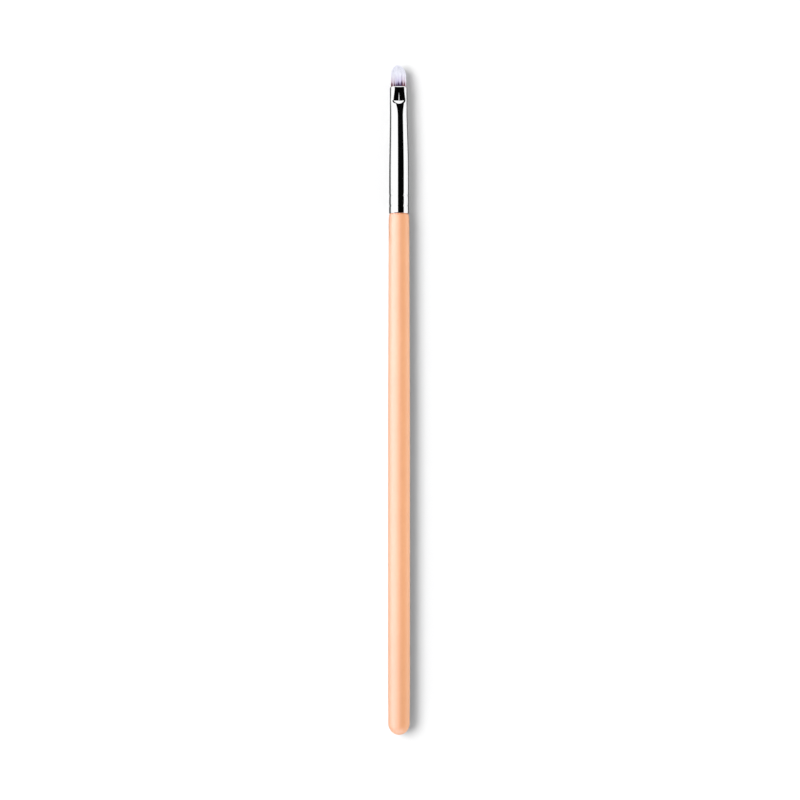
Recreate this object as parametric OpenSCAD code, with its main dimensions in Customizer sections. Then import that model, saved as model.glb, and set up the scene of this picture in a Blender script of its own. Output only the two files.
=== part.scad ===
// Slim eye-liner brush, lying on its side along Y with the tuft at +Y.
// A turned and lacquered wooden handle, a drawn metal ferrule that is rolled
// onto the handle's tenon and pressed flat near its mouth, a bundle of
// filaments, and the cast resin plug that bonds the filament roots.
// Units are millimetres. Along the brush, s is the distance from the butt end.

/* [Overall] */
// Length from the butt of the handle to the tip of the tuft
total_len = 170; // [166:0.5:176]

/* [Handle] */
// Diameter of the handle over its straight length
handle_d = 5.6; // [5.4:0.05:6.2]
// Diameter of the handle beside the ferrule
neck_d = 5.26; // [5.22:0.02:5.3]
// Where the straight length of the handle begins, from the butt
straight_from = 12; // [10:1:20]
// Where the straight length of the handle ends and the taper begins
straight_to = 78; // [60:1:90]
// Length of the rounded butt
butt_len = 3; // [2.6:0.1:4.2]
// Length of the tenon inside the ferrule
tenon_len = 12; // [9:0.5:13]

/* [Ferrule] */
// Visible length of the ferrule
ferrule_len = 32; // [31:0.2:34]
// Outer diameter of the ferrule over its straight length
ferrule_d = 4.98; // [4.9:0.02:5.02]
// Width across the ferrule's mouth
mouth_w = 4.3; // [4.2:0.02:4.5]
// Wall thickness of the ferrule
wall = 0.25; // [0.2:0.01:0.3]
// Straight length of the ferrule, from its handle end
barrel_len = 9.2; // [8:0.1:12]
// Length at the mouth over which the ferrule is straight again
collar_len = 2; // [1:0.1:3]
// Distance of the first rolled ring from the handle end of the ferrule
ring_a = 1.8; // [1.6:0.1:2.2]
// Distance of the second rolled ring from the handle end of the ferrule
ring_b = 4.4; // [4.2:0.1:5.2]
// Depth of the rolled rings
ring_depth = 0.08; // [0.06:0.01:0.14]
// Width of a rolled ring
ring_w = 1; // [0.6:0.05:1.1]

/* [Pressed mouth] */
// Thickness over the flats at the waist of the press
waist_t = 2.98; // [2.9:0.02:3.3]
// Thickness over the flats at the mouth
mouth_t = 3.84; // [3.6:0.02:3.9]
// Distance of the waist from the mouth
waist_back = 3.5; // [3.2:0.05:4.0]
// Length of the steep ramp from the waist back to the round tube
ramp_len = 1.1; // [0.6:0.05:1.2]
// Length over which the tube is slightly flattened behind the ramp
ease_len = 3.4; // [3.0:0.1:5.0]
// How deep that slight flattening gets, beside the ramp
ease_depth = 0.16; // [0.06:0.01:0.18]

/* [Tuft] */
// Length of tuft that shows beyond the mouth
tuft_out = 5.6; // [5:0.1:6]
// Length of filament held inside the ferrule
tuft_in = 12.6; // [11:0.1:13]
// Length of the tuft's rounded tip, seen from the flat side
tip_len = 3.2; // [2.8:0.1:4.2]
// Length of the tuft's rounded tip, seen edge-on
tip_len_edge = 4.3; // [3.6:0.1:4.6]
// Diameter of the bundle where the resin bonds it
root_d = 3.6; // [3.2:0.05:3.8]

/* [Resin plug] */
// Length of resin behind the ends of the filaments
plug_behind = 3; // [2:0.1:4]
// Length over which the resin wraps the filament roots
plug_over = 2.5; // [1.5:0.1:3.5]

/* [Hidden] */
$fn = 96;

s_mouth = total_len - tuft_out;                   // mouth of the ferrule
s_ferrule = s_mouth - ferrule_len;                // handle end of the ferrule
s_barrel = s_ferrule + barrel_len;                // end of the straight barrel
s_waist = s_mouth - waist_back;
s_ramp = s_waist - ramp_len;
s_ease = s_ramp - ease_len;
s_root = s_mouth - tuft_in;                       // ends of the filaments
r_handle = handle_d / 2;
r_neck = neck_d / 2;
r_barrel = ferrule_d / 2;
r_mouth = mouth_w / 2;
r_bore = r_barrel - wall;
butt_r = r_handle - 0.06;                         // radius where the rounded butt ends
shoulder_h = 0.24;                                // rounding of the lacquer at the ferrule
shoulder_l = 3.2;

function smooth(t) = t <= 0 ? 0 : t >= 1 ? 1 : t * t * (3 - 2 * t);
function steps(from, to, n) = [for (i = [0:n]) from + (to - from) * i / n];

// Radius of the handle at s, from the butt to the shoulder at the ferrule.
function handle_r(s) =
    s < butt_len ? butt_r * sqrt(max(0, 1 - pow((butt_len - s) / butt_len, 2))) :
    s < straight_from ? butt_r + (r_handle - butt_r) * smooth((s - butt_len) / (straight_from - butt_len)) :
    s <= straight_to ? r_handle :
    r_handle - (r_handle - r_neck) * taper((s - straight_to) / (s_ferrule - shoulder_l - straight_to), 0.2);
// A taper that starts gently over the first part, b, and then runs straight.
function taper(t, b) = t < b ? t * t / (2 * b) / (1 - b / 2) : (t - b / 2) / (1 - b / 2);

// Depth of the two rolled rings at s.
function ring_at(s, c) = abs(s - c) < ring_w / 2 ? ring_depth * pow(cos(180 * (s - c) / ring_w), 2) : 0;
function rings(s) = ring_at(s, s_ferrule + ring_a) + ring_at(s, s_ferrule + ring_b);

// Outer radius of the ferrule at s, before its mouth is pressed.
function tube_r(s) = r_barrel - rings(s)
    - (r_barrel - r_mouth) * smooth((s - s_barrel) / (s_mouth - collar_len - s_barrel));

// Half the thickness over the press at s: the slight flattening, the straight
// ramp down to the waist, and the flat that opens again towards the mouth.
function half_t(s) =
    s <= s_ramp ? tube_r(s) - ease_depth * pow((s - s_ease) / ease_len, 2) :
    s <= s_waist ? ramp_top + (waist_t / 2 - ramp_top) * (s - s_ramp) / ramp_len :
    waist_t / 2 + (mouth_t - waist_t) / 2 * (1 - pow((s_mouth - s) / waist_back, 2));
ramp_top = tube_r(s_ramp) - ease_depth;

// Stations along the ferrule: at the rings, the taper and the press.
function ring_s(c) = steps(c - ring_w / 2, c + ring_w / 2, 8);
tube_s = concat([s_ferrule], ring_s(s_ferrule + ring_a), ring_s(s_ferrule + ring_b),
    steps(s_barrel, s_mouth - collar_len, 12), [s_mouth]);
press_s = concat(steps(s_ease, s_ramp, 6), steps(s_waist, s_mouth, 7));

// The round bore of the ferrule, which the tenon, the resin and the roots fill.
bore = [for (s = tube_s) [s, tube_r(s) - wall]];
function bore_r(s) = lookup(s, bore);
function bore_between(from, to) = concat([[bore_r(from), from]],
    [for (p = bore) if (p[0] > from && p[0] < to) [p[1], p[0]]], [[bore_r(to), to]]);

// A solid of revolution about the brush's axis, from points [radius, s].
module turned(profile) {
    rotate_extrude() polygon(profile);
}

// The space between two mirrored side faces, from points [half thickness, s].
module between(side) {
    n = len(side);
    rotate([90, 0, 90]) translate([0, 0, -r_handle - 1]) linear_extrude(height = 2 * r_handle + 2)
        polygon(concat(side, [for (i = [n - 1:-1:0]) [-side[i][0], side[i][1]]]));
}

// The press's side faces at the given depth inside the metal's outer skin.
function press_side(inset) = concat(
    [[r_handle, s_ferrule - 2], [r_handle, s_ease - 0.01]],
    [for (s = press_s) [half_t(s) - inset, s]]);

// Laid along Y, on a surface at z = 0, with the flats up and down.
module lay() {
    translate([0, -total_len / 2, r_handle]) rotate([-90, 0, 0]) children();
}

module handle() {
    end = s_ferrule - shoulder_l;
    tip = s_ferrule + tenon_len;
    butt = [for (i = [0:18]) let (s = butt_len * (1 - cos(5 * i))) [handle_r(s), s]];
    lead = [for (s = steps(butt_len + 1, straight_from, 4)) [handle_r(s), s]];
    body = [for (s = steps(straight_to, end, 14)) [handle_r(s), s]];
    shoulder = [for (i = [1:8]) [r_neck - shoulder_h * pow(i / 8, 4), end + shoulder_l * i / 8]];
    // The tenon fills the bore, and the rolled rings press into it.
    tenon = concat(bore_between(s_ferrule, tip - 0.6), [[bore_r(tip) - 0.5, tip], [0, tip]]);
    color("#f6bd93") lay() turned(concat(butt, lead, body, shoulder, tenon));
}

module ferrule() {
    outer = [for (s = tube_s) [tube_r(s), s]];
    color("#d9dadc") lay() difference() {
        intersection() {
            turned(concat([[0, s_ferrule]], outer, [[0, s_mouth]]));
            between(concat(press_side(0), [[mouth_t / 2, s_mouth + 1]]));
        }
        intersection() {
            turned(concat([[0, s_ferrule - 1], [r_bore, s_ferrule - 1]], bore_between(s_ferrule, s_mouth),
                [[r_mouth - wall, s_mouth + 1], [0, s_mouth + 1]]));
            between(concat(press_side(wall), [[mouth_t / 2 - wall, s_mouth + 2]]));
        }
    }
}

module tuft() {
    r_tip = r_mouth - wall;
    t_tip = mouth_t / 2 - wall;
    s_full = s_root + plug_over;
    dome = [for (i = [0:5:90]) [r_tip * cos(i), total_len - tip_len * (1 - sin(i))]];
    edge = [for (i = [0:5:85]) [t_tip * cos(i), total_len - tip_len_edge * (1 - sin(i))]];
    color("#e6e1ee") lay() intersection() {
        turned(concat([[0, s_root], [root_d / 2, s_root], [root_d / 2, s_full]],
            bore_between(s_full, s_mouth), dome));
        between(concat(press_side(wall), edge, [[t_tip * cos(85), total_len + 1]]));
    }
}

module root_plug() {
    from = s_root - plug_behind;
    to = s_root + plug_over;
    color("#cdbf9a") lay() difference() {
        turned(concat([[0, from]], bore_between(from, to), [[0, to]]));
        translate([0, 0, s_root]) cylinder(h = plug_over + 1, d = root_d);
    }
}

handle();
ferrule();
tuft();
root_plug();
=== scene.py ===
import math

import bpy
import numpy as np
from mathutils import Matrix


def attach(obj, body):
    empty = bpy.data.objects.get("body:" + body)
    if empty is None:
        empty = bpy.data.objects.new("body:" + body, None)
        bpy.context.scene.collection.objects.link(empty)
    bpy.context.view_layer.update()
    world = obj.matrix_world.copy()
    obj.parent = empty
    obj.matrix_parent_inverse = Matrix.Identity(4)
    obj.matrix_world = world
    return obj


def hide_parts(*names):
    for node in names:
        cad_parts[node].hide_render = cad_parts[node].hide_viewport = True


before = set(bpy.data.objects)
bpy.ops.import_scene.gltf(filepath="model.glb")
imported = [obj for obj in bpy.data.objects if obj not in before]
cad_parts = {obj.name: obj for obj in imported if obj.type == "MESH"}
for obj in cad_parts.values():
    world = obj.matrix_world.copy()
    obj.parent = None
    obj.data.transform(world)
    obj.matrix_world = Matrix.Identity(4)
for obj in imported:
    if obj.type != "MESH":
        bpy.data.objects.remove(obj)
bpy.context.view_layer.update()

MM = 0.001
rng = np.random.default_rng(20)

# ---------------------------------------------------------------------------
# Sizes, in millimetres. s is the distance from the butt end, along the brush.
# ---------------------------------------------------------------------------
TOTAL = 170.0
R_HANDLE, R_NECK = 2.8, 2.63
S_STRAIGHT, S_TAPER = 12.0, 78.0
BUTT_LEN, BUTT_R = 3.0, 2.74
TENON = 12.0
S_MOUTH = 164.34
S_FERRULE = 132.2
S_BARREL = 141.6
R_BARREL, R_MOUTH, WALL = 2.49, 2.15, 0.25
COLLAR = 2.0
RINGS = (2.0, 4.6)
RING_DEPTH, RING_W = 0.07, 0.9
WAIST_T, MOUTH_T = 2.56, 3.44
S_WAIST = 160.7
S_RAMP = 159.89
S_EASE = 156.4
EASE_LEN, EASE_DEPTH = 3.4, 0.3
SHOULDER_H, SHOULDER_L = 0.24, 3.2
S_ROOT, ROOT_R, PLUG_OVER = 151.8, 1.8, 2.5
TIP_LEN, TIP_LEN_EDGE = 3.15, 4.3


def smooth(t):
    t = np.clip(t, 0, 1)
    return t * t * (3 - 2 * t)


def taper(t, b=0.2):
    return np.where(t < b, t * t / (2 * b), t - b / 2) / (1 - b / 2)


def handle_r(s):
    s = np.asarray(s, float)
    dome = BUTT_R * np.sqrt(np.clip(1 - ((BUTT_LEN - s) / BUTT_LEN) ** 2, 0, 1))
    lead = BUTT_R + (R_HANDLE - BUTT_R) * smooth((s - BUTT_LEN) / (S_STRAIGHT - BUTT_LEN))
    end = S_FERRULE - SHOULDER_L
    slim = R_HANDLE - (R_HANDLE - R_NECK) * taper(np.clip((s - S_TAPER) / (end - S_TAPER), 0, 1))
    return np.where(s < BUTT_LEN, dome, np.where(s < S_STRAIGHT, lead, np.where(s <= S_TAPER, R_HANDLE, slim)))


def rings(s):
    total = np.zeros_like(np.asarray(s, float))
    for c in RINGS:
        d = s - S_FERRULE - c
        total = total + np.where(np.abs(d) < RING_W / 2, RING_DEPTH * np.cos(np.pi * d / RING_W) ** 2, 0)
    return total


def tube_r(s):
    s = np.asarray(s, float)
    return R_BARREL - rings(s) - (R_BARREL - R_MOUTH) * smooth((s - S_BARREL) / (S_MOUTH - COLLAR - S_BARREL))


RAMP_TOP = float(tube_r(S_RAMP)) - EASE_DEPTH


def half_t_sharp(s):
    s = np.asarray(s, float)
    ease = tube_r(s) - EASE_DEPTH * (np.maximum(s - S_EASE, 0) / EASE_LEN) ** 2
    ramp = RAMP_TOP + (WAIST_T / 2 - RAMP_TOP) * (s - S_RAMP) / (S_WAIST - S_RAMP)
    flat = WAIST_T / 2 + (MOUTH_T - WAIST_T) / 2 * (1 - ((S_MOUTH - s) / (S_MOUTH - S_WAIST)) ** 2)
    return np.where(s <= S_RAMP, ease, np.where(s <= S_WAIST, ramp, flat))


def half_t(s):
    """Half the thickness over the press, with its bends rolled over a small radius."""
    s = np.asarray(s, float)
    return sum(half_t_sharp(s + d) for d in np.linspace(-0.1, 0.1, 9)) / 9


def skew(s):
    """The ferrule's mouth sits a hair to one side of the handle's centre line."""
    return -0.1 * smooth((np.asarray(s, float) - 145.0) / 17.0)


# ---------------------------------------------------------------------------
# Meshes
# ---------------------------------------------------------------------------
def place(x, z, s):
    """Points of the brush, in metres: across, above the axis, and s along it."""
    return np.stack([np.asarray(x) * MM, (np.asarray(s) - TOTAL / 2) * MM, (np.asarray(z) + R_HANDLE) * MM], -1)


def new_mesh(name, verts, faces, uvs=None):
    me = bpy.data.meshes.new(name)
    verts = np.asarray(verts, np.float32).reshape(-1, 3)
    counts = np.array([len(f) for f in faces], np.int32)
    loops = np.concatenate([np.asarray(f, np.int32) for f in faces])
    me.vertices.add(len(verts))
    me.vertices.foreach_set("co", verts.ravel())
    me.loops.add(len(loops))
    me.loops.foreach_set("vertex_index", loops)
    me.polygons.add(len(counts))
    me.polygons.foreach_set("loop_start", np.concatenate([[0], np.cumsum(counts)[:-1]]).astype(np.int32))
    me.polygons.foreach_set("use_smooth", np.ones(len(counts), bool))
    if uvs is not None:
        layer = me.uv_layers.new(name="OFBake")
        layer.data.foreach_set("uv", np.asarray(uvs, np.float32).ravel())
    me.update(calc_edges=True)
    me.validate()
    ob = bpy.data.objects.new(name, me)
    bpy.context.scene.collection.objects.link(ob)
    return ob


def lathe(name, grid, poles=(None, None), strips=1, closed=False):
    """A skin over rings of points, grid[ring, segment, 3]. It is closed by two pole points, or back onto its first ring.
    The rings are laid out in strips on the UV map, side by side, so that a long piece fills it."""
    n, m = grid.shape[:2]
    verts = [grid.reshape(-1, 3)]
    faces, uvs = [], []
    lengths = np.concatenate([[0], np.cumsum(np.linalg.norm(np.diff(grid[:, 0], axis=0), axis=1))])
    total = lengths[-1]

    def spot(i, j, strip):
        along = min(max(lengths[i] / total * strips - strip, 0), 1)
        return ((strip + 0.02 + 0.96 * j / m) / strips, 0.01 + 0.98 * along)

    rows = n if closed else n - 1
    for i in range(rows):
        k = (i + 1) % n
        strip = min(int(((lengths[i] + lengths[min(i + 1, n - 1)]) / 2) / total * strips), strips - 1)
        for j in range(m):
            l = (j + 1) % m
            faces.append((i * m + j, k * m + j, k * m + l, i * m + l))
            if k:
                uvs += [spot(i, j, strip), spot(k, j, strip), spot(k, j + 1, strip), spot(i, j + 1, strip)]
            else:
                a, b = spot(i, j, strip), spot(i, j + 1, strip)
                uvs += [a, (a[0], 0.998), (b[0], 0.998), b]
    for side, pole in enumerate(poles):
        if pole is None:
            continue
        verts.append(np.asarray(pole, float).reshape(1, 3))
        p = n * m + sum(len(v) for v in verts[1:]) - 1
        i = n - 1 if side else 0
        strip = strips - 1 if side else 0
        edge = 0.998 if side else 0.002
        for j in range(m):
            l = (j + 1) % m
            a, b = spot(i, j, strip), spot(i, j + 1, strip)
            mid = ((a[0] + b[0]) / 2, edge)
            if side:
                faces.append((i * m + j, p, i * m + l))
                uvs += [a, mid, b]
            else:
                faces.append((i * m + l, p, i * m + j))
                uvs += [b, mid, a]
    return new_mesh(name, np.concatenate(verts), faces, uvs)


def span(a, b, n, last=False):
    return list(np.linspace(a, b, n + 1)[: n + 1 if last else n])


# ---------------------------------------------------------------------------
# Handle: turned wood under thick lacquer, one skin with its tenon
# ---------------------------------------------------------------------------
end = S_FERRULE - SHOULDER_L
profile = [(BUTT_LEN * (1 - math.cos(math.radians(a))), None) for a in np.linspace(3, 90, 30)]
profile += [(s, None) for s in span(BUTT_LEN, S_STRAIGHT, 18)[1:]]
profile += [(s, None) for s in span(S_STRAIGHT, S_TAPER, 44)]
profile += [(s, None) for s in span(S_TAPER, end, 40)]
profile += [(end + SHOULDER_L * u, R_NECK - SHOULDER_H * u ** 4) for u in np.linspace(0, 0.985, 26)]
# The lacquer's edge curls in against the metal.
profile += [(S_FERRULE - 0.025, R_NECK - SHOULDER_H - 0.015), (S_FERRULE - 0.004, R_NECK - SHOULDER_H - 0.05)]
gap = 0.004  # between the tenon and the bore
profile.append((S_FERRULE + 0.004, float(tube_r(S_FERRULE)) - WALL - gap))
profile += [(s, float(tube_r(s)) - WALL - gap) for s in span(S_FERRULE + 0.3, S_FERRULE + 6.0, 40)]
profile += [(s, float(tube_r(s)) - WALL - gap) for s in span(S_FERRULE + 6.0, S_FERRULE + TENON - 0.6, 6, True)]
profile += [(S_FERRULE + TENON - 0.01, float(tube_r(S_FERRULE + TENON)) - WALL - 0.5)]
segs = 128
turn = np.arange(segs) * 2 * math.pi / segs
grid = []
for s, r in profile:
    r = float(handle_r(s)) if r is None else r
    grid.append(place(r * np.cos(turn), r * np.sin(turn), np.full(segs, s)))
handle = lathe("lacquered_handle", np.array(grid), (place(0, 0, 0), place(0, 0, S_FERRULE + TENON)), strips=4)
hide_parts("handle")
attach(handle, "root")

# ---------------------------------------------------------------------------
# Ferrule: a drawn tube with two rolled rings, its mouth pressed flat
# ---------------------------------------------------------------------------
quarter = np.concatenate([np.arange(0, 36, 3.0), np.arange(36, 82, 1.0), np.arange(82, 90, 0.8)])
theta = np.radians(np.concatenate([quarter, 180 - np.append(quarter, 90)[:0:-1], 180 + quarter, 360 - np.append(quarter, 90)[:0:-1]]))


def groove(x, s):
    """The press's centre crease, deepest at the waist and gone before the mouth."""
    depth = 0.036 * (0.5 + 0.5 * smooth((S_MOUTH - 1.9 - s) / 1.4)) * smooth((S_MOUTH - 1.1 - s) / 0.5) * smooth((s - S_WAIST + 0.05) / 0.2)
    return depth * np.exp(-((x / 0.13) ** 2))


def press_top(across, s):
    """Half the thickness at a place across the press: its bends bow towards the mouth at the sides."""
    bow = 0.055 * np.minimum(np.abs(across) / 1.15, 1.3) ** 2
    near = float(smooth((s - S_RAMP + 0.3) / 0.5) * smooth((S_WAIST + 1.2 - s) / 1.0))
    return half_t(s - bow * near)


def skin_r(t, s, inset=0.0):
    """Radius of the ferrule's skin in direction t at s, inset into the metal."""
    base = float(tube_r(s)) - inset
    if s <= S_EASE:
        return np.full_like(t, base)
    pressed = float(smooth((s - S_EASE) / (S_WAIST - S_EASE)))
    round_r = base + 0.05 * pressed * np.cos(t) ** 4
    up = np.maximum(np.abs(np.sin(t)), 1e-6)
    # The bend between the round side and the flat is wide beside the ramp, and tightens towards the mouth.
    power = 10.0 + 4.5 * float(smooth((s - S_RAMP) / 2.6))
    top = press_top(float(half_t(s)) * np.cos(t) / up, s) - inset
    # The flat that, blended with the round side, leaves this thickness in the middle.
    flat = np.maximum(top ** -power - base ** -power, 1e-4 * base ** -power) ** (-1 / power)
    if inset < 0.1:
        flat = flat - groove(flat * np.cos(t) / up, s)
    return (round_r ** -power + (flat / up) ** -power) ** (-1 / power)


END_L, END_R = 0.34, 0.13
outer = [(S_FERRULE + END_L * (1 - math.cos(math.radians(a))), END_R * (1 - math.sin(math.radians(a)))) for a in np.linspace(0, 90, 13)]
outer += [(s, 0.0) for s in span(S_FERRULE + END_L + 0.15, S_FERRULE + RINGS[0] - 0.5, 4)]
outer += [(s, 0.0) for s in span(S_FERRULE + RINGS[0] - 0.5, S_FERRULE + RINGS[0] + 0.5, 18)]
outer += [(s, 0.0) for s in span(S_FERRULE + RINGS[0] + 0.5, S_FERRULE + RINGS[1] - 0.5, 5)]
outer += [(s, 0.0) for s in span(S_FERRULE + RINGS[1] - 0.5, S_FERRULE + RINGS[1] + 0.5, 18)]
outer += [(s, 0.0) for s in span(S_FERRULE + RINGS[1] + 0.5, S_BARREL, 6)]
outer += [(s, 0.0) for s in span(S_BARREL, S_EASE, 22)]
outer += [(s, 0.0) for s in span(S_EASE, S_RAMP - 0.3, 18)]
outer += [(s, 0.0) for s in span(S_RAMP - 0.3, S_WAIST + 0.9, 46)]
# The cut edge of the mouth is burnished to a narrow bevel.
BEVEL_L, BEVEL_R = 0.23, 0.17
outer += [(s, 0.0) for s in span(S_WAIST + 0.9, S_MOUTH - BEVEL_L - 0.06, 14)]
outer += [(S_MOUTH - BEVEL_L - 0.05, 0.0), (S_MOUTH - BEVEL_L - 0.02, 0.003), (S_MOUTH - BEVEL_L + 0.01, 0.018)]
outer += [(S_MOUTH - BEVEL_L * (1 - u), BEVEL_R * u + 0.01) for u in (0.25, 0.5, 0.75, 0.95)]
outer += [(S_MOUTH - 0.003, BEVEL_R + 0.02), (S_MOUTH, BEVEL_R + 0.035), (S_MOUTH - 0.004, WALL - 0.02)]
inner = [(S_MOUTH - 0.02, WALL - 0.006), (S_MOUTH - 0.06, WALL)]
inner += [(s, WALL) for s in span(S_MOUTH - 0.4, S_WAIST + 0.4, 6)]
inner += [(s, WALL) for s in span(S_WAIST + 0.4, S_RAMP - 0.3, 14)]
inner += [(s, WALL) for s in span(S_RAMP - 0.3, S_EASE, 8)]
inner += [(s, WALL) for s in span(S_EASE, S_FERRULE + 6, 8)]
inner += [(s, WALL) for s in span(S_FERRULE + 6, S_FERRULE + 0.3, 36)]
inner += [(S_FERRULE + 0.03, WALL), (S_FERRULE, WALL - 0.03)]
grid = []
for s, inset in outer + inner:
    r = skin_r(theta, s, inset)
    grid.append(place(r * np.cos(theta) + skew(s), r * np.sin(theta), np.full(len(theta), s)))
ferrule = lathe("pressed_ferrule", np.array(grid), strips=4, closed=True)
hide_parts("ferrule")
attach(ferrule, "root")

# ---------------------------------------------------------------------------
# Tuft: tapered filaments from the roots, through the press, to the dome
# ---------------------------------------------------------------------------
COUNT, SIDES = 1800, 5
FIL_R = 0.039
golden = math.pi * (3 - math.sqrt(5))
index = np.arange(COUNT)
rho = np.sqrt((index + 0.5) / COUNT) + rng.normal(0, 0.005, COUNT)
rho = np.clip(rho, 0.0, 1.0)
phi = index * golden + rng.normal(0, 0.015, COUNT) / np.maximum(rho, 0.1)


def bundle_edge(t, s):
    """Radius of the bundle in direction t at s: the bore, then free beyond the mouth."""
    if s <= S_ROOT + PLUG_OVER:
        return np.full_like(t, ROOT_R - FIL_R - 0.01)
    if s < S_EASE:
        return np.full_like(t, float(tube_r(s)) - WALL - FIL_R - 0.02)
    return skin_r(t, min(s, S_MOUTH), WALL + FIL_R + 0.012)


inside = [S_ROOT, S_ROOT + PLUG_OVER, 156.2, 159.6, S_WAIST, S_MOUTH]
mouth_edge = bundle_edge(phi, S_MOUTH)
# How far along each filament ends: on a dome that leans a little to one side.
side_x, side_z = rho * np.cos(phi), rho * np.sin(phi)
rim = np.clip(rho, 0, 0.999) ** 2
off = np.clip(np.hypot(side_x + 0.09 * (1 - rim), side_z), 0, 1)
lean = np.sqrt((TIP_LEN * (1 - 0.05 * (1 + np.cos(phi))) * np.cos(phi)) ** 2 + (TIP_LEN_EDGE * np.sin(phi)) ** 2)
tip_s = TOTAL - lean * (1 - np.sqrt(np.clip(1 - (off * 0.99) ** 2, 0, 1)))
tip_s -= 0.13 * np.minimum(off / 0.2, 1) * (1 - off)
tip_s -= np.abs(rng.normal(0, 0.03, COUNT)) + 0.02
free = np.array([0.22, 0.52, 0.8, 0.94, 1.0])
bend_dir = rng.uniform(0, 2 * math.pi, COUNT)
bend = rng.normal(0, 0.02, COUNT)
stations, radii = [], []
for s in inside:
    e = bundle_edge(phi, s)
    stations.append((rho * e * np.cos(phi), rho * e * np.sin(phi), np.full(COUNT, s)))
    radii.append(np.full(COUNT, FIL_R))
for f in free:
    s = S_MOUTH + (tip_s - S_MOUTH) * f
    out = (s - S_MOUTH) / (TOTAL - S_MOUTH)
    spread = 1 + 0.012 * smooth(out * 6) - 0.02 * out ** 2
    sway = bend * out ** 1.5
    stations.append((rho * mouth_edge * spread * np.cos(phi) + sway * np.cos(bend_dir) - 0.06 * out,
                     rho * mouth_edge * spread * np.sin(phi) + sway * np.sin(bend_dir), s))
    radii.append(FIL_R * (1.0 if f < 0.9 else 0.86 if f < 0.95 else 0.45) * np.ones(COUNT))
paths = np.stack([np.stack(p, -1) for p in stations], 1)  # filament, station, (x, z, s)
radii = np.stack(radii, 1) * rng.uniform(0.88, 1.1, COUNT)[:, None]
N = paths.shape[1]
around = np.arange(SIDES) * 2 * math.pi / SIDES
start = rng.uniform(0, 2 * math.pi, COUNT)
ang = around[None, :] + start[:, None]
paths[:, :, 0] += skew(paths[:, :, 2])
px = paths[:, :, None, 0] + radii[:, :, None] * np.cos(ang)[:, None, :]
pz = paths[:, :, None, 1] + radii[:, :, None] * np.sin(ang)[:, None, :]
ps = np.repeat(paths[:, :, None, 2], SIDES, 2)
ring_points = place(px, pz, ps).reshape(COUNT, -1, 3)
tips = place(paths[:, -1, 0], paths[:, -1, 1], paths[:, -1, 2] + 0.02)[:, None]
points = np.concatenate([ring_points, tips], 1)

# Dye: each filament is dark from its root to a height that goes by clumps.
xm = paths[:, len(inside) - 1, 0]
clumps = [(-1.82, 1.15, 0.11), (-1.15, 1.4, 0.1), (-0.13, 1.2, 0.28), (0.71, 1.6, 0.19), (1.39, 1.35, 0.1)]
gaps = [(-1.44, -0.25, 0.11), (-0.87, 0.1, 0.09), (0.26, 0.45, 0.09), (1.08, 0.3, 0.09), (1.67, -0.25, 0.1)]
dye = 0.78 + 0.1 * rng.normal(0, 1, COUNT)
for c, h, w in clumps:
    dye = dye + (h - 0.78) * np.exp(-(((xm - c) / w) ** 2)) * rng.uniform(0.75, 1.0, COUNT)
for c, h, w in gaps:
    dye = dye + (h - dye) * np.exp(-(((xm - c) / w) ** 2))
pale = rng.uniform(0, 1, COUNT) < 0.07
dye = np.where(pale, dye - 0.45, dye)
DYE_LOW, DYE_HIGH = -0.6, 2.8
# The map's left half is for the bluer filaments in the middle, its right half for the redder ones at the sides.
red = np.abs(xm + 0.1) + rng.normal(0, 0.12, COUNT) > 0.95
column = np.clip((dye - DYE_LOW) / (DYE_HIGH - DYE_LOW), 0, 1) * 0.46 + 0.02 + 0.5 * red
heights = np.concatenate([np.array(inside) - S_MOUTH, np.zeros(len(free))])
V_LOW, V_HIGH = S_ROOT - S_MOUTH, TOTAL - S_MOUTH


def v_of(h):
    """Height on the map: the free length takes most of it."""
    h = np.asarray(h, float)
    return np.where(h < -1, 0.02 + 0.1 * (h - V_LOW) / (-1 - V_LOW), 0.12 + 0.86 * (h + 1) / (V_HIGH + 1))


faces, uvs = [], []
per = N * SIDES + 1
quads = []
for k in range(N - 1):
    for j in range(SIDES):
        l = (j + 1) % SIDES
        quads.append((k * SIDES + j, (k + 1) * SIDES + j, (k + 1) * SIDES + l, k * SIDES + l))
tris = [((N - 1) * SIDES + j, N * SIDES, (N - 1) * SIDES + (j + 1) % SIDES) for j in range(SIDES)]
cap = tuple(range(SIDES))
for i in range(COUNT):
    base = i * per
    v = v_of(paths[i, :, 2] - S_MOUTH)
    vt = v_of(paths[i, -1, 2] + 0.02 - S_MOUTH)
    u0 = column[i]
    for q, (a, b, c, d) in enumerate(quads):
        faces.append((base + a, base + b, base + c, base + d))
        k, j = divmod(q, SIDES)
        ua, ub = u0 + 0.004 * (j / SIDES - 0.5), u0 + 0.004 * ((j + 1) / SIDES - 0.5)
        uvs += [(ua, v[k]), (ua, v[k + 1]), (ub, v[k + 1]), (ub, v[k])]
    for j, (a, b, c) in enumerate(tris):
        faces.append((base + a, base + b, base + c))
        ua, ub = u0 + 0.004 * (j / SIDES - 0.5), u0 + 0.004 * ((j + 1) / SIDES - 0.5)
        uvs += [(ua, v[-1]), ((ua + ub) / 2, vt), (ub, v[-1])]
    faces.append(tuple(base + a for a in cap))
    uvs += [(u0 + 0.002 * math.cos(a), 0.01 + 0.004 * math.sin(a)) for a in around]
tuft = new_mesh("filament_tuft", points.reshape(-1, 3), faces, uvs)
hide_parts("tuft")
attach(tuft, "root")


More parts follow.
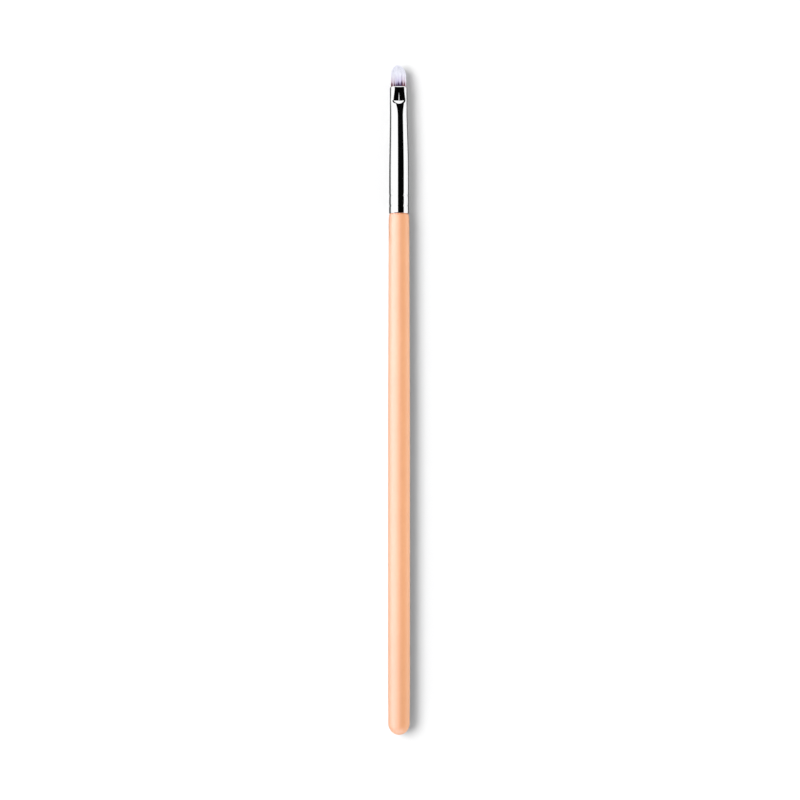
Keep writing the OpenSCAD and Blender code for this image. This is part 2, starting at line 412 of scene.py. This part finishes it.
# ---------------------------------------------------------------------------
# Materials
# ---------------------------------------------------------------------------
class Nodes:
    """A material's or world's nodes, with short calls to add and link them."""

    def __init__(self, tree):
        self.tree = tree
        tree.nodes.clear()

    def add(self, kind, **values):
        node = self.tree.nodes.new(kind)
        for key, value in values.items():
            if key.startswith("i_"):
                self.put(value, node.inputs[key[2:].replace("_", " ")])
            else:
                setattr(node, key, value)
        return node

    def put(self, value, socket):
        if isinstance(value, bpy.types.NodeSocket):
            self.tree.links.new(value, socket)
        elif isinstance(value, bpy.types.Node):
            self.tree.links.new(value.outputs[0], socket)
        else:
            socket.default_value = value

    def math(self, operation, *values, clamp=False):
        node = self.tree.nodes.new("ShaderNodeMath")
        node.operation = operation
        node.use_clamp = clamp
        for i, value in enumerate(values):
            self.put(value, node.inputs[i])
        return node.outputs[0]

    def noise(self, vector, scale, detail=2.0, rough=0.5):
        node = self.add("ShaderNodeTexNoise")
        self.put(vector, node.inputs["Vector"])
        node.inputs["Scale"].default_value = scale
        node.inputs["Detail"].default_value = detail
        node.inputs["Roughness"].default_value = rough
        return node.outputs["Fac"]

    def stretch(self, vector, scale):
        node = self.add("ShaderNodeMapping")
        self.put(vector, node.inputs["Vector"])
        node.inputs["Scale"].default_value = scale
        return node.outputs[0]

    def range(self, value, a, b, c=0.0, d=1.0, kind="LINEAR"):
        node = self.add("ShaderNodeMapRange", interpolation_type=kind)
        self.put(value, node.inputs["Value"])
        for name, number in (("From Min", a), ("From Max", b), ("To Min", c), ("To Max", d)):
            node.inputs[name].default_value = number
        return node.outputs["Result"]

    def mix(self, factor, a, b, blend="MIX"):
        node = self.add("ShaderNodeMix", data_type="RGBA", blend_type=blend)
        self.put(factor, node.inputs["Factor"])
        self.put(a, node.inputs["A"])
        self.put(b, node.inputs["B"])
        return node.outputs["Result"]

    def bump(self, height, strength, distance, normal=None):
        node = self.add("ShaderNodeBump")
        node.inputs["Strength"].default_value = strength
        node.inputs["Distance"].default_value = distance
        self.put(height, node.inputs["Height"])
        if normal is not None:
            self.put(normal, node.inputs["Normal"])
        return node.outputs[0]


def material(name):
    mat = bpy.data.materials.new(name)
    mat.use_nodes = True
    n = Nodes(mat.node_tree)
    out = n.add("ShaderNodeOutputMaterial")
    shader = n.add("ShaderNodeBsdfPrincipled")
    n.tree.links.new(shader.outputs[0], out.inputs["Surface"])
    where = n.add("ShaderNodeTexCoord").outputs["Object"]
    return mat, n, shader, where


def along(n, where):
    """s in millimetres."""
    node = n.add("ShaderNodeSeparateXYZ")
    n.put(where, node.inputs[0])
    return n.math("MULTIPLY_ADD", node.outputs["Y"], 1000.0, TOTAL / 2)


def lacquer():
    mat, n, shader, where = material("peach_lacquer")
    s = along(n, where)
    cloud = n.noise(where, 90.0, 3.0, 0.55)
    speck = n.noise(where, 1400.0, 2.0, 0.5)
    tone = n.range(cloud, 0.3, 0.7)
    base = n.mix(tone, (0.785, 0.352, 0.158, 1), (0.815, 0.378, 0.174, 1))
    base = n.mix(n.range(speck, 0.35, 0.65, 0.0, 0.3), base, (0.775, 0.345, 0.15, 1))
    # Painted shade: the colour is made a shade deeper towards the butt, standing in for less light at that end.
    base = n.mix(n.range(s, 10.0, 32.0, 0.085, 0.0), base, (0.2, 0.08, 0.03, 1))
    # Painted shade: the lacquer is darkened in a ring where it rolls in at the ferrule, the shade in the joint between
    # the parts.
    edge = n.math("MULTIPLY_ADD", n.noise(where, 900.0, 2.0), 0.2, s)
    painted_junction_shade = n.range(edge, S_FERRULE - 0.3, S_FERRULE + 0.04, 0.0, 0.75, "SMOOTHSTEP")
    split = n.add("ShaderNodeSeparateXYZ")
    n.put(where, split.inputs[0])
    # The painted shade is deeper on the right side, away from the light, and lighter on the left.
    painted_junction_shade = n.math("MULTIPLY", painted_junction_shade, n.range(split.outputs["X"], -0.0012, 0.0013, 0.4, 1.2))
    base = n.mix(painted_junction_shade, base, (0.55, 0.15, 0.035, 1))
    # Bare wood on the hidden tenon.
    grain = n.noise(n.stretch(where, (9000.0, 260.0, 9000.0)), 1.0, 3.0, 0.6)
    wood = n.mix(n.range(grain, 0.35, 0.65), (0.50, 0.33, 0.18, 1), (0.70, 0.52, 0.32, 1))
    bare = n.range(s, S_FERRULE + 0.02, S_FERRULE + 0.12)
    base = n.mix(bare, base, wood)
    n.put(base, shader.inputs["Base Color"])
    rough = n.range(n.noise(where, 520.0, 3.0, 0.6), 0.3, 0.7, 0.6, 0.68)
    n.put(rough, shader.inputs["Roughness"])
    shader.inputs["IOR"].default_value = 1.5
    shader.inputs["Specular IOR Level"].default_value = 0.1
    # The gloss is a little worn towards the butt, where the hand holds it.
    n.put(n.math("MULTIPLY", n.range(bare, 0.0, 1.0, 1.0, 0.0), n.range(s, 0.0, 131.0, 0.77, 1.0)), shader.inputs["Coat Weight"])
    shader.inputs["Coat Roughness"].default_value = 0.42
    shader.inputs["Coat IOR"].default_value = 1.52
    peel = n.noise(where, 700.0, 2.0, 0.5)
    fine = n.noise(n.stretch(where, (1.0, 0.12, 1.0)), 5200.0, 2.0, 0.5)
    height = n.math("MULTIPLY_ADD", fine, 0.18, peel)
    normal = n.bump(height, 0.25, 0.00003)
    n.put(normal, shader.inputs["Normal"])
    coat = n.bump(peel, 0.15, 0.00002)
    n.put(coat, shader.inputs["Coat Normal"])
    return mat


def metal():
    mat, n, shader, where = material("polished_ferrule")
    lines = n.noise(n.stretch(where, (1.0, 0.03, 1.0)), 9000.0, 2.0, 0.6)
    smudge = n.noise(where, 420.0, 4.0, 0.6)
    tone = n.range(lines, 0.35, 0.65, 0.0, 0.6)
    base = n.mix(tone, (0.93, 0.93, 0.935, 1), (0.88, 0.878, 0.88, 1))
    base = n.mix(n.range(smudge, 0.5, 0.75, 0.0, 0.25), base, (0.84, 0.835, 0.83, 1))
    n.put(base, shader.inputs["Base Color"])
    shader.inputs["Metallic"].default_value = 1.0
    rough = n.math("ADD", n.range(lines, 0.3, 0.7, 0.03, 0.055), n.range(smudge, 0.4, 0.8, 0.0, 0.025))
    n.put(rough, shader.inputs["Roughness"])
    n.put(n.bump(lines, 0.06, 0.000004), shader.inputs["Normal"])
    return mat


def filament():
    mat, n, shader, where = material("dyed_filament")
    uv = n.add("ShaderNodeUVMap", uv_map="OFBake")
    split = n.add("ShaderNodeSeparateXYZ")
    n.put(uv.outputs[0], split.inputs[0])
    u, v = split.outputs["X"], split.outputs["Y"]
    # How far this filament's dye reaches, and how high this point is, in millimetres.
    red = n.math("GREATER_THAN", u, 0.5)
    reach_mm = n.range(n.math("MULTIPLY_ADD", red, -0.5, u), 0.02, 0.48, DYE_LOW, DYE_HIGH)
    high = n.range(v, 0.12, 0.98, -1.0, TOTAL - S_MOUTH)
    over = n.math("SUBTRACT", high, reach_mm)
    own = n.noise(n.stretch(uv.outputs[0], (220.0, 0.0, 0.0)), 1.0, 0.0)
    fade = n.math("ADD", over, n.range(own, 0.2, 0.8, -0.18, 0.18))
    dark = n.range(fade, -0.5, 0.34, 1.0, 0.0, "SMOOTHSTEP")
    plum = n.mix(n.range(own, 0.3, 0.7), (0.075, 0.03, 0.085, 1), (0.035, 0.02, 0.085, 1))
    wine = n.mix(n.range(own, 0.3, 0.7), (0.16, 0.02, 0.02, 1), (0.085, 0.022, 0.05, 1))
    wine = n.mix(red, plum, wine)
    pale = n.mix(n.range(own, 0.3, 0.7), (0.76, 0.77, 0.86, 1), (0.83, 0.83, 0.895, 1))
    tint = n.mix(red, (0.41, 0.34, 0.54, 1), (0.56, 0.42, 0.52, 1))
    pale = n.mix(n.range(fade, 0.1, 2.1, 0.75, 0.0), pale, tint)
    n.put(n.mix(dark, pale, wine), shader.inputs["Base Color"])
    shader.inputs["Roughness"].default_value = 0.42
    shader.inputs["IOR"].default_value = 1.5
    return mat


def resin():
    mat, n, shader, where = material("cast_resin")
    cloud = n.noise(where, 900.0, 3.0, 0.6)
    base = n.mix(n.range(cloud, 0.3, 0.7), (0.42, 0.31, 0.13, 1), (0.62, 0.50, 0.27, 1))
    n.put(base, shader.inputs["Base Color"])
    n.put(n.range(cloud, 0.3, 0.7, 0.12, 0.3), shader.inputs["Roughness"])
    n.put(n.bump(n.noise(where, 2500.0, 2.0), 0.2, 0.00005), shader.inputs["Normal"])
    return mat


handle.data.materials.append(lacquer())
ferrule.data.materials.append(metal())
tuft.data.materials.append(filament())
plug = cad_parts["root_plug"]
if not plug.data.materials:
    plug.data.materials.append(None)
plug_resin = resin()
for i in range(len(plug.data.materials)):
    plug.data.materials[i] = plug_resin

# ---------------------------------------------------------------------------
# Floor, light and camera
# ---------------------------------------------------------------------------
side = 6.0
floor = new_mesh("floor", [(-side, -side, 0), (side, -side, 0), (side, side, 0), (-side, side, 0)], [(0, 1, 2, 3)])
mat, n, shader, where = material("pale_floor")
grain = n.noise(where, 300.0, 3.0)
n.put(n.mix(grain, (0.682, 0.682, 0.686, 1), (0.69, 0.69, 0.69, 1)), shader.inputs["Base Color"])
shader.inputs["Roughness"].default_value = 0.9
shader.inputs["Specular IOR Level"].default_value = 0.0
floor.data.materials.append(mat)


def flag(name, near, far, far_tip):
    """A dark card on the floor beside the ferrule, wider at the handle's end, for its polish to mirror: painted shade
    on the floor, seen only in the polish.
    """
    y0, y1, z = (126.0 - TOTAL / 2) * MM, (167.5 - TOTAL / 2) * MM, 0.00003
    corners = [(near * MM, y0, z), (far * MM, y0, z), (far_tip * MM, y1, z), (near * MM, y1, z)]
    ob = new_mesh(name, corners, [(0, 1, 2, 3)], [(0, 0), (1, 0), (1, 1), (0, 1)])
    mat, n, shader, where = material(name + "_card")
    split = n.add("ShaderNodeSeparateXYZ")
    n.put(n.add("ShaderNodeUVMap", uv_map="OFBake").outputs[0], split.inputs[0])
    # Painted shade: darkest next to the metal, fading outwards.
    n.put(n.mix(n.range(split.outputs["X"], 0.4, 1.0), (0.06, 0.06, 0.06, 1), (0.5, 0.5, 0.5, 1)), shader.inputs["Base Color"])
    shader.inputs["Roughness"].default_value = 1.0
    shader.inputs["Specular IOR Level"].default_value = 0.0
    ob.data.materials.append(mat)
    ob.visible_camera = ob.visible_diffuse = ob.visible_shadow = False


flag("flag_left", -2.6, -14.5, -9.5)
flag("flag_right", 2.6, 7.4, 6.4)

# What the floor sees of the handle: the same rod in grey, so its shade stays neutral.
rod = [(s, r) for s, r in [(s, float(handle_r(s)) if r is None else r) for s, r in profile] if s < S_FERRULE - 0.05]
grid = [place((r - 0.02) * np.cos(turn[::2]), (r - 0.02) * np.sin(turn[::2]), np.full(segs // 2, s + 0.02)) for s, r in rod[::2]]
grey = lathe("grey_rod", np.array(grid), (place(0, 0, 0.03), place(0, 0, rod[-1][0])))
mat, n, shader, where = material("grey_rod_paint")
split = n.add("ShaderNodeSeparateXYZ")
n.put(where, split.inputs[0])
# Painted light and shade: the grey is lighter on the left, lit side and darker on the right, shadow side, so the floor
# beside the handle gets bounce to match.
n.put(n.mix(n.range(split.outputs["X"], -0.001, 0.0005), (0.8, 0.8, 0.8, 1), (0.3, 0.3, 0.3, 1)), shader.inputs["Base Color"])
shader.inputs["Roughness"].default_value = 0.9
grey.data.materials.append(mat)
grey.visible_camera = grey.visible_glossy = False
handle.visible_diffuse = False

world = bpy.data.worlds.new("studio")
bpy.context.scene.world = world
world.use_nodes = True
n = Nodes(world.node_tree)
out = n.add("ShaderNodeOutputWorld")
background = n.add("ShaderNodeBackground")
n.tree.links.new(background.outputs[0], out.inputs["Surface"])
split = n.add("ShaderNodeSeparateXYZ")
n.put(n.add("ShaderNodeTexCoord").outputs["Generated"], split.inputs[0])
X, Y, Z = (split.outputs[k] for k in "XYZ")


def rise(degrees):
    return math.sin(math.radians(degrees))


# Light for matt surfaces: white walls up to 39 degrees under a dim ceiling.
wall = n.range(Z, rise(38), rise(40), 1.0, 0.0)
matt = n.math("ADD", n.math("MULTIPLY", wall, 1.1 - 0.42), 0.42)
# What polish mirrors: a white panel at each side, a taller one at the left, one beyond the tuft, and dark between.
beside = n.range(n.math("ABSOLUTE", Y), 0.42, 0.5, 1.0, 0.0)
beside_left = n.math("MULTIPLY", n.range(Y, -0.42, -0.34), n.range(Y, 0.68, 0.75, 1.0, 0.0))
ahead = n.math("MULTIPLY", n.range(X, -0.05, -0.02), n.range(X, 0.06, 0.11, 1.0, 0.0))
right = n.math("MULTIPLY", beside, n.range(Z, rise(29), rise(31), 1.0, 0.0))
left = n.math("MULTIPLY", beside_left, n.range(X, -0.23, -0.2, 1.0, 0.0))
ends = n.math("MULTIPLY", n.math("MULTIPLY", ahead, n.range(Y, 0.1, 0.2)), n.range(Z, rise(45), rise(48), 1.0, 0.0))
low = n.range(Z, rise(12), rise(14), 1.0, 0.0)
polish = n.math("MAXIMUM", n.math("MAXIMUM", right, left), n.math("MAXIMUM", ends, low))
polish = n.math("MULTIPLY_ADD", polish, 1.1, 0.001)
path = n.add("ShaderNodeLightPath")
glossy, seen = path.outputs["Is Glossy Ray"], path.outputs["Is Camera Ray"]
level = n.math("ADD", n.math("MULTIPLY", polish, glossy), n.math("MULTIPLY", matt, n.math("SUBTRACT", 1.0, glossy)))
level = n.math("ADD", n.math("MULTIPLY", level, n.math("SUBTRACT", 1.0, seen)), n.math("MULTIPLY", 0.93, seen))
n.put(level, background.inputs["Strength"])
background.inputs["Color"].default_value = (1, 1, 1, 1)


def group(name, *members):
    made = bpy.data.collections.new(name)
    for ob in members:
        made.objects.link(ob)
    return made


on_floor = group("lit_floor", floor)
on_handle = group("lit_handle", handle)
on_tuft = group("lit_tuft", tuft)


def area(name, zenith, half, length, distance, watts, receivers, y=0.0):
    """A soft box at the left, seen from the brush at that angle from straight up; a negative angle is at the right."""
    light = bpy.data.lights.new(name, "AREA")
    light.shape = "RECTANGLE"
    light.size = 2 * distance * math.tan(math.radians(half))
    light.size_y = length
    light.energy = watts
    ob = bpy.data.objects.new(name, light)
    a = math.radians(zenith)
    ob.location = (-distance * math.sin(a), y, distance * math.cos(a))
    ob.rotation_euler = (0, -a, 0)
    ob.visible_camera = False
    bpy.context.scene.collection.objects.link(ob)
    ob.light_linking.receiver_collection = receivers
    return ob


area("key_wide", 34, 16, 2.2, 3.0, 64, on_floor, 0.3)
area("key_core", 36.5, 9.5, 2.2, 2.98, 42, on_floor, 0.3)
for name, zenith, half, length, watts, receivers, y in (("fill_handle", -5, 18, 4.0, 39.2, on_handle, -0.55), ("fill_tuft", 4, 38, 2.0, 66, on_tuft, 0.0)):
    fill = area(name, zenith, half, length, 2.4, watts, receivers, y)
    fill.visible_glossy = False
for name, zenith, half, watts, tint in (("sheen_left", 58, 38, 665, (0.9, 0.82, 1.07)), ("sheen_top", 6, 8, 76, (0.95, 0.95, 1)),
                                      ("sheen_low", 122, 15, 250, (0.7, 0.95, 1)), ("sheen_right", -114, 12, 120, (0.45, 0.92, 1))):
    sheen = area(name, zenith, half, 6.0, 3.0, watts, on_handle)
    sheen.data.color = tint
    sheen.visible_diffuse = False
    sheen.light_linking.blocker_collection = on_handle
# One more soft box beyond the butt, low down, which shows on the rounded end alone.
sheen = area("sheen_butt", 0, 34, 3.2, 3.0, 210, on_handle)
a = math.radians(85)
sheen.location = (0, -3.0 * math.sin(a), 3.0 * math.cos(a))
sheen.rotation_euler = (a, 0, 0)
sheen.data.color = (0.5, 0.84, 1.15)
sheen.visible_diffuse = False
sheen.light_linking.blocker_collection = on_handle

camera = bpy.data.objects.new("camera", bpy.data.cameras.new("camera"))
camera.data.type = "PERSP"
camera.data.lens = 85
camera.data.sensor_width = 36
camera.location = (0.000258, -0.000063, 0.4793 + 0.0028)
camera.rotation_euler = (0, 0, 0)
camera.data.clip_start = 0.01
bpy.context.scene.collection.objects.link(camera)
bpy.context.scene.camera = camera
bpy.context.scene.view_settings.view_transform = "Standard"
bpy.context.scene.view_settings.look = "None"
